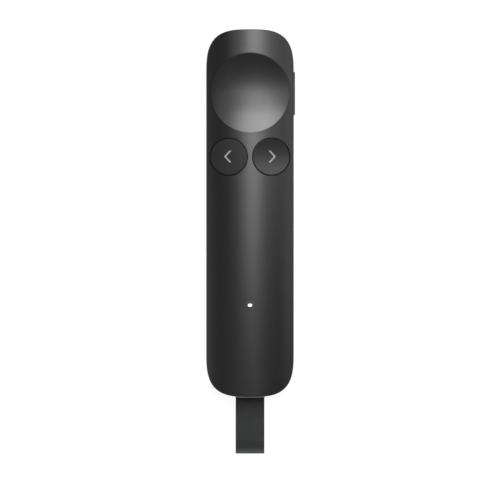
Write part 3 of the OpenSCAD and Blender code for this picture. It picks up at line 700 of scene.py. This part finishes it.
def round_key(name, node, body, height, under, gap, fit, material):
    """A key: its face, skirt, flange and the stem that meets its switch."""
    x, y, radius = key_place(node)
    stem_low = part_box(node)[0].z
    skirt = radius - SKIRT_T
    flange = radius + gap + FLANGE_OVER
    rings = cap_rings(x, y, radius + fit.grow, height, fit.rim)
    rings += [round_ring(x, y, radius + fit.grow, FLANGE_TOP),
              flange_ring(x, y, flange, FLANGE_TOP),
              flange_ring(x, y, flange, FLANGE_TOP - FLANGE_T),
              flange_ring(x, y, skirt, FLANGE_TOP - FLANGE_T)]
    rings += [round_ring(x, y, r, under) for r in np.linspace(skirt, STEM_R, UNDER_RINGS)]
    rings += [round_ring(x, y, STEM_R, stem_low)]
    key = turned_piece(name, rings, (x, y, float(height(np.array(x), np.array(y)))),
                       (x, y, stem_low))
    smooth(key)
    dress(key, body, "key", material, node)
    matt_inside(key, lambda c: c[:, 2] < FLANGE_TOP + SLIP)


def dish_key():
    """Large dished key whose rim follows the crown."""
    x, y, radius = key_place("dish_key")

    def face(px, py):
        far = (np.square(px - x) + np.square(py - y)) / radius ** 2
        return crown_z(px) - DISH_DEPTH * (1 - far) * (1 - DISH_LEAN * (py - y) / radius)

    def under(px, py):
        return face(px, py) - DISH_WALL
    round_key("dished_key", "dish_key", "dish", face, under, DISH_SEAM, DISH_FIT, KEY)


def key_tilt(x):
    """Sine and cosine of the crown's slope at x."""
    return x / CROWN_R, math.sqrt(1 - (x / CROWN_R) ** 2)


def back_face(x):
    """Height over the back key, a flatter crown than the housing's."""
    sine, cosine = key_tilt(x)
    flat_r = BACK_FLATNESS * CROWN_R
    axis_x = x - flat_r * sine
    axis_z = float(crown_z(x)) - KEY_SET - flat_r * cosine
    return lambda px, py: axis_z + np.sqrt(flat_r ** 2 - np.square(px - axis_x))


def forward_face(x, y, radius):
    """Height over the forward key, level across and troughed along the body."""
    sine, cosine = key_tilt(x)
    middle_z = float(crown_z(x)) - KEY_SET
    trough_r = (radius ** 2 + FORWARD_HOLLOW ** 2) / (2 * FORWARD_HOLLOW)

    def height(px, py):
        rise = trough_r - FORWARD_HOLLOW - np.sqrt(trough_r ** 2 - np.square(py - y))
        rise = rise + FORWARD_LEAN * (py - y)
        across = (px - x - rise * sine) / cosine
        return middle_z - across * sine + rise * cosine
    return height


def chevron(name, node, body, face, side):
    """Pale chevron let into a key, with its tip outward."""
    low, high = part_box(node)
    width, length = high.x - low.x + MARK_WIDER, high.y - low.y + MARK_LONGER
    tip = low.x if side < 0 else high.x
    arm = tip - side * width
    across = CHEVRON_STROKE * math.sqrt(1 + (2 * (width - CHEVRON_STROKE) / length) ** 2)
    run = (width - across) * side
    middle = (low.y + high.y) / 2
    ring = [(tip, 0), (tip - run, -length / 2), (arm, -length / 2),
            (arm + run, 0), (arm, length / 2), (tip - run, length / 2)]
    points = []
    for (ax, ay), (bx, by) in zip(ring, ring[1:] + ring[:1]):
        points += [(ax + (bx - ax) * k / CHEVRON_STEPS, middle + ay + (by - ay) * k / CHEVRON_STEPS)
                   for k in range(CHEVRON_STEPS)]
    flat = np.array(points)
    top = face(flat[:, 0], flat[:, 1]) + MARK_PROUD
    piece = capped_piece(name, [np.column_stack([flat, top - CHEVRON_DEPTH]),
                                np.column_stack([flat, top])])
    smooth(piece, angle=20)
    dress(piece, body, "mark", MARK, node)


def small_keys():
    """Back and forward keys with their chevrons."""
    x, y, radius = key_place("back_key")
    face = back_face(x)
    under = float(crown_z(abs(x) + radius)) - COLLAR_DROP
    round_key("back_key_cap", "back_key", "back", face, under, KEY_RING, KEY_FIT, SMALL_KEY)
    chevron("back_mark", "back_chevron", "back", face, -1)
    x, y, radius = key_place("forward_key")
    face = forward_face(x, y, radius + KEY_RING)
    round_key("forward_key_cap", "forward_key", "forward", face, under, KEY_RING, KEY_FIT,
              SMALL_KEY)
    chevron("forward_mark", "forward_chevron", "forward", face, 1)


def side_key():
    """Long narrow key in the right side, with a rolled edge."""
    low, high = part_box("side_key")
    middle = (low + high) / 2
    width = high.y - low.y - 2 * SIDE_FLANGE_IN
    height = high.z - low.z - SIDE_FLANGE_IN
    flange_x = HALF_W - SIDE_WALL - SLIP

    def ring(x, grow):
        return rounded_ring(width + grow, height + grow, (height + grow) / 2 - SLIP,
                            lambda u, v: (x, middle.y + u, middle.z + v))
    rings = [ring(flange_x - SIDE_FLANGE_T, SIDE_FLANGE_IN), ring(flange_x, SIDE_FLANGE_IN),
             ring(flange_x, 0)]
    for a in np.linspace(0, math.pi / 2, SIDE_EDGE_STEPS + 1):
        rings.append(ring(high.x - SIDE_EDGE_R + SIDE_EDGE_R * math.sin(a),
                          -2 * SIDE_EDGE_R * (1 - math.cos(a))))
    key = capped_piece("side_key_cap", rings)
    smooth(key)
    dress(key, "side", "side_key", SIDE, "side_key")


def back_cover():
    """Back of the housing: a flat back with a wide rolled edge, and a lip inside the shell."""
    joint_z = SEAM_Z - PART_GAP
    lip_out = SIDE_WALL + SLIP
    lip_in = lip_out + LIP_T
    rings = [level_ring(lip_in + i, BACK_WALL + d)
             for i, d in reversed(rolls(COVER_ROLL_R, INNER_ROLL_STEPS))]
    rings += [level_ring(lip_in, SEAM_Z + LIP_H), level_ring(lip_out, SEAM_Z + LIP_H),
              level_ring(lip_out, joint_z), level_ring(0, joint_z)]
    rings += [level_ring(i, d) for i, d in rolls(BACK_EDGE_R, ROLL_STEPS)]
    cover = cup_piece("housing_back", rings)
    low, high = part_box("receiver_dock")
    half = high.x + DOCK_GAP
    corners = [(-half, -HALF_L), (half, -HALF_L), (half, high.y), (-half, high.y)]
    dock_low = low.z - SLIP
    cut_piece(cover, capped_piece("dock_room", [[(x, y, z) for x, y in corners]
                                                for z in (dock_low, BODY_T)]), "DIFFERENCE")
    smooth(cover)
    dress(cover, "housing", "housing", HOUSING, "back_cover")
    matt_inside(cover, lambda c: (c[:, 2] > BACK_WALL / 2)
                & (inset_at(c[:, 0], c[:, 1]) > SIDE_WALL / 2))


def light_window():
    """End of the light pipe, flush with the face and softened at its rim."""
    low, high = LIGHT_BOX
    middle_y = (low.y + high.y) / 2
    top = BODY_T + WINDOW_PROUD

    def ring(z, grow):
        width, length = high.x - low.x + grow, high.y - low.y + grow
        return rounded_ring(width, length, length / 2 - SLIP / 4,
                            lambda u, v: (u, middle_y + v, z))
    lens = capped_piece("status_light", [
        ring(BODY_T - FACE_WALL, 0), ring(top - WINDOW_EDGE, 0),
        ring(top - WINDOW_EDGE / 3, -WINDOW_EDGE), ring(top, -2 * WINDOW_EDGE)])
    smooth(lens)
    dress(lens, "housing", "light_pipe", LIGHT, "light_pipe")


def receiver_lips():
    """Rounded lips above and below the receiver's mouth, over the cap's own, pale as a painted
    highlight along the mouth's edge.
    """
    points = node_points("receiver_cap")
    points = points[points[:, 1] < -HALF_L - SLIP]
    middle_z = (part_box("tab_pin")[0].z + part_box("tab_pin")[1].z) / 2
    depth = LIP_REACH + 4 * LIP_COVER
    for name, side in (("lip_above", 1), ("lip_below", -1)):
        lip = points[(points[:, 2] - middle_z) * side > 0]
        low, high = lip.min(0), lip.max(0)
        height = high[2] - low[2] + 2 * LIP_COVER

        def ring(x):
            """Bead's section, which follows the housing's end across."""
            bend = 1 - (1 - abs(x / HALF_W) ** END_POWER) ** (1 / END_POWER)
            middle_y = -HALF_L + END_DEPTH * bend - LIP_REACH + depth / 2
            return rounded_ring(depth, height, LIP_BEAD_R, lambda u, v: (
                x, middle_y + u, (low[2] + high[2]) / 2 + v))
        bead = capped_piece(name, [ring(x) for x in np.linspace(
            low[0] - LIP_COVER, high[0] + LIP_COVER, LIP_STEPS)])
        smooth(bead)
        dress(bead, "receiver", "receiver", LIP_HIGHLIGHT)


def ease(t):
    """Smooth step from 0 to 1."""
    return t * t * (3 - 2 * t)


def ribbon():
    """Woven tape: a loop round the pin, two plies lying together, and a fold at the tip."""
    low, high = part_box("pull_tab")
    pin_low, pin_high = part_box("tab_pin")
    pin_y, pin_z = (pin_low.y + pin_high.y) / 2, (pin_low.z + pin_high.z) / 2
    width = high.x - low.x
    eye = (pin_high.z - pin_low.z) / 2 + SLIP + PLY_T / 2
    apart = (PLY_T + PLY_GAP) / 2
    shut_y = pin_y - SHUT_LENGTH
    fold_y = low.y + PLY_T / 2 + FOLD_L
    half_turn = np.linspace(0, math.pi, LOOP_STEPS + 1)
    path = [(pin_y + eye * math.sin(a), pin_z + eye * math.cos(a)) for a in half_turn]
    # Each ply eases from the loop to lie on the other, runs straight, and swells into the fold
    half = [(pin_y + (shut_y - pin_y) * t, eye + (apart - eye) * ease(t))
            for t in np.linspace(0, 1, EASE_STEPS + 1)[1:]]
    half += [(shut_y + (fold_y + SWELL_LENGTH - shut_y) * t, apart)
             for t in np.linspace(0, 1, RUN_STEPS + 1)[1:]]
    half += [(fold_y + SWELL_LENGTH * (1 - t), apart + (FOLD_H - apart) * ease(t))
             for t in np.linspace(0, 1, SWELL_STEPS + 1)[1:]]
    path += [(y, pin_z - z) for y, z in half]
    path += [(fold_y - FOLD_L * math.sin(a), pin_z - FOLD_H * math.cos(a))
             for a in half_turn[1:-1]]
    path += [(y, pin_z + z) for y, z in reversed(half)]
    path = np.array(path[:-1])
    ahead = np.roll(path, -1, 0) - np.roll(path, 1, 0)
    ahead /= np.linalg.norm(ahead, axis=1, keepdims=True)
    out = np.stack([-ahead[:, 1], ahead[:, 0]], 1)
    section = rounded_ring(width, PLY_T, PLY_T * PLY_EDGE_SHARE, lambda u, v: (u, v), steps=5)
    rings = [[(u, y + n[0] * v, z + n[1] * v) for u, v in section]
             for (y, z), n in zip(path, out)]
    sides = len(section)
    count = len(rings)
    points = [p for r in rings for p in r]
    faces = [(k * sides + i, k * sides + (i + 1) % sides,
              ((k + 1) % count) * sides + (i + 1) % sides, ((k + 1) % count) * sides + i)
             for k in range(count) for i in range(sides)]
    tape = mesh_object("ribbon_tape", points, faces)
    smooth(tape, angle=60)
    dress(tape, "tab", "ribbon", RIBBON, "pull_tab")


# Stage ----------------------------------------------------------------------------------------

# Lamps overhead lie one above another, since lamps that share a plane hide each other
LAMP_HEIGHT = 1.4
LAMP_STEP = 0.004
# Name, middle across and along, size across and along, and radiance
SOFTBOXES = [
    ("streak_core", 0.123, 0.469, 0.576, 0.459, 5.40),
    ("streak_front", 0.108, 0.365, 0.327, 0.682, 2.96),
    ("streak_edge", 0.192, 0.410, 0.501, 0.758, 1.03),
    ("streak_surround", 0.163, 0.406, 1.218, 0.744, 1.09),
    ("streak_foot", -0.027, 0.053, 0.383, 0.084, 4.09),
    ("right_foot", 0.490, 0.092, 0.649, 0.105, 1.32),
    ("right_softbox", 1.196, 0.367, 0.713, 0.882, 1.43),
    ("left_fill", -0.797, -0.197, 1.216, 0.727, 0.23),
    ("left_softbox", -1.382, -0.315, 0.689, 0.767, 0.71),
]
# The room's strengths, and the sines of the elevations between which its walls fade out
CEILING = 0.08
WALLS = 1.0
WALL_FULL = 0.2
WALL_END = 0.85
# Floor: half its side, its level, its white for light, and what the camera and mirrors see of it
FLOOR_HALF = 1.5
FLOOR_Z = -0.02 * MM
FLOOR_WHITE = 0.8
FLOOR_FAINT = 0.2
FLOOR_GLOW = 0.9


def camera():
    """Long lens straight above, as far off as makes the photo's frame PHOTO_WIDTH wide."""
    data = bpy.data.cameras.new("camera")
    data.lens = LENS
    data.sensor_width = SENSOR
    data.clip_start = CLIP_START
    data.clip_end = CLIP_END
    eye = bpy.data.objects.new("camera", data)
    eye.location = (0, CAMERA_Y, BODY_T + PHOTO_WIDTH * LENS / SENSOR)
    bpy.context.scene.collection.objects.link(eye)
    bpy.context.scene.camera = eye


def softboxes():
    """Level rectangular lamps overhead, which the camera doesn't see."""
    for place, (name, x, y, width, length, radiance) in enumerate(SOFTBOXES):
        data = bpy.data.lights.new(name, "AREA")
        data.shape = "RECTANGLE"
        data.size, data.size_y = width, length
        data.energy = radiance * math.pi * width * length
        lamp = bpy.data.objects.new(name, data)
        lamp.location = (x, y, LAMP_HEIGHT + place * LAMP_STEP)
        lamp.visible_camera = False
        bpy.context.scene.collection.objects.link(lamp)


def floor():
    """White floor that camera and mirror rays see as lit paper, with the object's shadow."""
    corners = [(-1, -1), (1, -1), (1, 1), (-1, 1)]
    plane = mesh_object("floor", [(FLOOR_HALF * x, FLOOR_HALF * y, FLOOR_Z) for x, y in corners],
                        [(0, 1, 2, 3)])
    material = bpy.data.materials.new("paper")
    material.use_nodes = True
    material.node_tree.nodes.clear()
    out = add_node(material, "ShaderNodeOutputMaterial")
    matt = add_node(material, "ShaderNodeBsdfDiffuse", Color=(*[FLOOR_WHITE] * 3, 1))
    faint = add_node(material, "ShaderNodeBsdfDiffuse", Color=(*[FLOOR_FAINT] * 3, 1))
    glow = add_node(material, "ShaderNodeEmission", Color=(1, 1, 1, 1), Strength=FLOOR_GLOW)
    both = add_node(material, "ShaderNodeAddShader")
    pick = add_node(material, "ShaderNodeMixShader")
    path = add_node(material, "ShaderNodeLightPath")
    seen = add_node(material, "ShaderNodeMath", operation="MAXIMUM")
    seen_too = add_node(material, "ShaderNodeMath", operation="MAXIMUM")
    link(material, path.outputs["Is Camera Ray"], seen.inputs[0])
    link(material, path.outputs["Is Glossy Ray"], seen.inputs[1])
    link(material, seen.outputs["Value"], seen_too.inputs[0])
    link(material, path.outputs["Is Transmission Ray"], seen_too.inputs[1])
    link(material, faint.outputs["BSDF"], both.inputs[0])
    link(material, glow.outputs["Emission"], both.inputs[1])
    link(material, seen_too.outputs["Value"], pick.inputs["Fac"])
    link(material, matt.outputs["BSDF"], pick.inputs[1])
    link(material, both.outputs["Shader"], pick.inputs[2])
    link(material, pick.outputs["Shader"], out.inputs["Surface"])
    plane.data.materials.append(material)


def world():
    """Room light: dim above and white round the walls, where it meets the floor."""
    sky = bpy.data.worlds.new("room")
    sky.use_nodes = True
    bpy.context.scene.world = sky
    tree = sky.node_tree
    background = tree.nodes["Background"]
    background.inputs["Color"].default_value = (1, 1, 1, 1)
    place = tree.nodes.new("ShaderNodeTexCoord")
    split = tree.nodes.new("ShaderNodeSeparateXYZ")
    wall = tree.nodes.new("ShaderNodeMapRange")
    wall.interpolation_type = "SMOOTHSTEP"
    wall.inputs["From Min"].default_value = WALL_FULL
    wall.inputs["From Max"].default_value = WALL_END
    wall.inputs["To Min"].default_value = WALLS
    wall.inputs["To Max"].default_value = CEILING
    tree.links.new(place.outputs["Generated"], split.inputs["Vector"])
    tree.links.new(split.outputs["Z"], wall.inputs["Value"])
    tree.links.new(wall.outputs["Result"], background.inputs["Strength"])


camera()
floor()
world()
softboxes()

dress_cad_nodes()
top_shell()
back_cover()
dish_key()
small_keys()
side_key()
light_window()
receiver_lips()
ribbon()

bpy.context.scene.view_settings.view_transform = "Standard"
